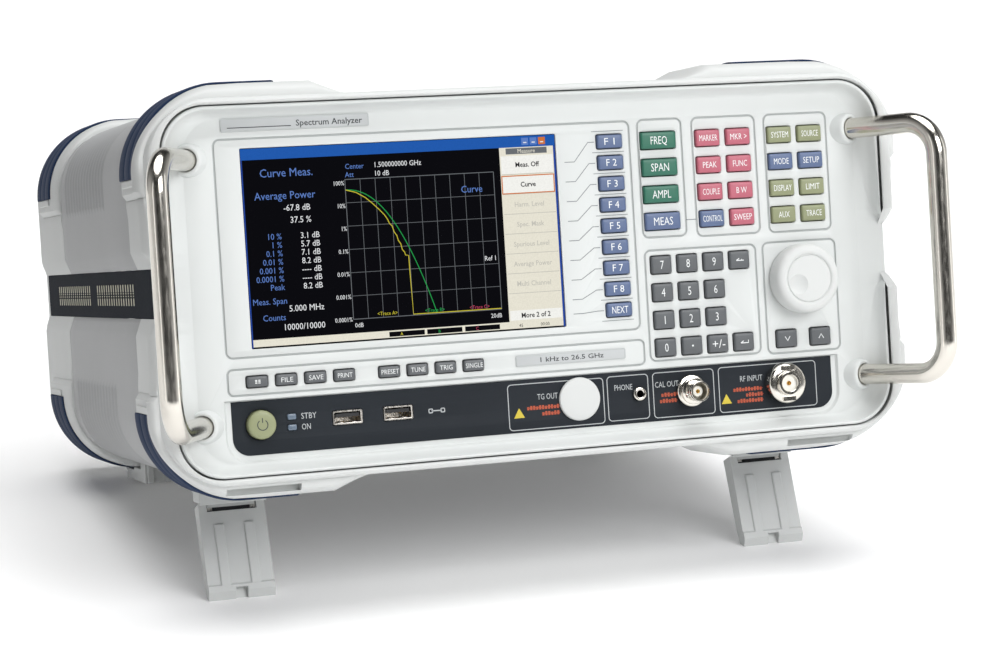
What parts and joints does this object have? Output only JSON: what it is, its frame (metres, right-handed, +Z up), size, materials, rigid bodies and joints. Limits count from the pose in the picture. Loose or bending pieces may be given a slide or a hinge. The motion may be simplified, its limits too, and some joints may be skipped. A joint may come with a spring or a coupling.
{
  "type": "bench spectrum analyzer",
  "caption": "Bench spectrum analyzer with grab handles, rubber-edged case, keypad, tuning knob, front sockets and folding tilt legs, standing tilted back.",
  "frame": {"origin": "centre of the overall box, on the ground under the toes and rear pads", "axes": "+Z up from the ground, front panel facing -Y and tilted back, +X to the right of someone facing the panel"},
  "size_m": [0.386, 0.3998, 0.249],
  "materials": {
    "light_grey_plastic": "satin light grey moulding",
    "cover_grey": "satin light grey paint",
    "navy_rubber": "smooth dark navy rubber",
    "charcoal_plastic": "fine grained charcoal",
    "blue_keys": "satin silicone key",
    "green_keys": "satin silicone key",
    "pink_keys": "satin silicone key",
    "olive_keys": "satin silicone key",
    "grey_keys": "satin silicone key",
    "satin_nickel": "satin nickel plate",
    "black_rubber": "matt rubber",
    "black_plastic": "black moulding",
    "screen_glass": "glossy dark screen",
    "lamp_plastic": "frosted light pipe",
    "aluminium_sheet": "bare folded sheet",
    "circuit_board": "green solder mask",
    "silver_label": "silver film plate"
  },
  "bodies": {
    "instrument": {"badge_plate": "silver_label", "blank_cap": "light_grey_plastic", "bottom_cover": "cover_grey", "cal_connector": "satin_nickel", "chassis_tray": "aluminium_sheet", "connector_strip": "charcoal_plastic", "display_window": "screen_glass", "fan_frame": "black_plastic", "foot_pad_left": "black_rubber", "foot_pad_right": "black_rubber", "front_board": "circuit_board", "front_bumper_bottom_left": "navy_rubber", "front_bumper_bottom_right": "navy_rubber", "front_bumper_top_left": "navy_rubber", "front_bumper_top_right": "navy_rubber", "front_frame": "light_grey_plastic", "front_panel": "light_grey_plastic", "handle_left": "satin_nickel", "handle_right": "satin_nickel", "io_plate": "aluminium_sheet", "knob_encoder": "satin_nickel", "lcd_module": "black_plastic", "leg_pin_left": "satin_nickel", "leg_pin_right": "satin_nickel", "main_board": "circuit_board", "mains_inlet": "black_plastic", "phone_jack": "satin_nickel", "power_supply": "black_plastic", "range_plate": "silver_label", "rear_bumper_bottom_left": "navy_rubber", "rear_bumper_bottom_right": "navy_rubber", "rear_bumper_top_left": "navy_rubber", "rear_bumper_top_right": "navy_rubber", "rear_foot_left": "cover_grey", "rear_foot_right": "cover_grey", "rear_frame": "light_grey_plastic", "rear_panel": "cover_grey", "rf_connector": "satin_nickel", "rf_module": "aluminium_sheet", "side_band_left": "charcoal_plastic", "side_band_right": "charcoal_plastic", "status_lamps": "lamp_plastic", "top_cover": "cover_grey", "usb_socket_left": "satin_nickel", "usb_socket_right": "satin_nickel"},
    "tuning_knob": {"tuning_knob": "light_grey_plastic"},
    "power_button": {"power_button": "olive_keys"},
    "tilt_leg_left": {"tilt_leg_left": "cover_grey"},
    "tilt_leg_right": {"tilt_leg_right": "cover_grey"},
    "fan_rotor": {"fan_rotor": "black_plastic"},
    "mains_switch": {"mains_switch": "black_plastic"},
    "soft_keys": {"soft_keys": "blue_keys"},
    "function_keys": {"function_keys": "green_keys"},
    "marker_keys": {"marker_keys": "pink_keys"},
    "system_keys": {"system_keys": "olive_keys"},
    "number_keys": {"number_keys": "grey_keys"},
    "arrow_down_key": {"arrow_down_key": "grey_keys"},
    "arrow_up_key": {"arrow_up_key": "grey_keys"},
    "file_keys": {"file_keys": "grey_keys"},
    "preset_keys": {"preset_keys": "grey_keys"}
  },
  "joints": [
    {"name": "soft_keys_press", "type": "slide", "parent": "instrument", "child": "soft_keys", "axis": [0, 0.9845, -0.1752], "range_m": [0, 0.001], "stiffness_N_per_m": 600, "springref_m": -0.0005},
    {"name": "function_keys_press", "type": "slide", "parent": "instrument", "child": "function_keys", "axis": [0, 0.9845, -0.1752], "range_m": [0, 0.001], "stiffness_N_per_m": 600, "springref_m": -0.0005},
    {"name": "marker_keys_press", "type": "slide", "parent": "instrument", "child": "marker_keys", "axis": [0, 0.9845, -0.1752], "range_m": [0, 0.001], "stiffness_N_per_m": 600, "springref_m": -0.0005},
    {"name": "system_keys_press", "type": "slide", "parent": "instrument", "child": "system_keys", "axis": [0, 0.9845, -0.1752], "range_m": [0, 0.001], "stiffness_N_per_m": 600, "springref_m": -0.0005},
    {"name": "number_keys_press", "type": "slide", "parent": "instrument", "child": "number_keys", "axis": [0, 0.9845, -0.1752], "range_m": [0, 0.001], "stiffness_N_per_m": 600, "springref_m": -0.0005},
    {"name": "arrow_down_key_press", "type": "slide", "parent": "instrument", "child": "arrow_down_key", "axis": [0, 0.9845, -0.1752], "range_m": [0, 0.001], "stiffness_N_per_m": 600, "springref_m": -0.0005},
    {"name": "arrow_up_key_press", "type": "slide", "parent": "instrument", "child": "arrow_up_key", "axis": [0, 0.9845, -0.1752], "range_m": [0, 0.001], "stiffness_N_per_m": 600, "springref_m": -0.0005},
    {"name": "file_keys_press", "type": "slide", "parent": "instrument", "child": "file_keys", "axis": [0, 0.9845, -0.1752], "range_m": [0, 0.001], "stiffness_N_per_m": 600, "springref_m": -0.0005},
    {"name": "preset_keys_press", "type": "slide", "parent": "instrument", "child": "preset_keys", "axis": [0, 0.9845, -0.1752], "range_m": [0, 0.001], "stiffness_N_per_m": 600, "springref_m": -0.0005},
    {"name": "power_button_press", "type": "slide", "parent": "instrument", "child": "power_button", "axis": [0, 0.9845, -0.1752], "range_m": [0, 0.0015], "stiffness_N_per_m": 600, "springref_m": -0.0005},
    {"name": "knob_turn", "type": "hinge", "parent": "instrument", "child": "tuning_knob", "pos_m": [0.1352, -0.14288, 0.14433], "axis": [0, 0.9845, -0.1752], "continuous": true},
    {"name": "tilt_leg_left_fold", "type": "hinge", "parent": "instrument", "child": "tilt_leg_left", "pos_m": [-0.1392, -0.08108, 0.04639], "axis": [1, 0, 0], "range_deg": [0, 105]},
    {"name": "tilt_leg_right_fold", "type": "hinge", "parent": "instrument", "child": "tilt_leg_right", "pos_m": [0.1392, -0.08108, 0.04639], "axis": [1, 0, 0], "range_deg": [0, 105]},
    {"name": "fan_spin", "type": "hinge", "parent": "instrument", "child": "fan_rotor", "pos_m": [-0.112, 0.16966, 0.1084], "axis": [0, 0.9845, -0.1752], "continuous": true},
    {"name": "mains_switch_rock", "type": "hinge", "parent": "instrument", "child": "mains_switch", "pos_m": [0.14, 0.17557, 0.07993], "axis": [1, 0, 0], "range_deg": [0, 13]}
  ]
}
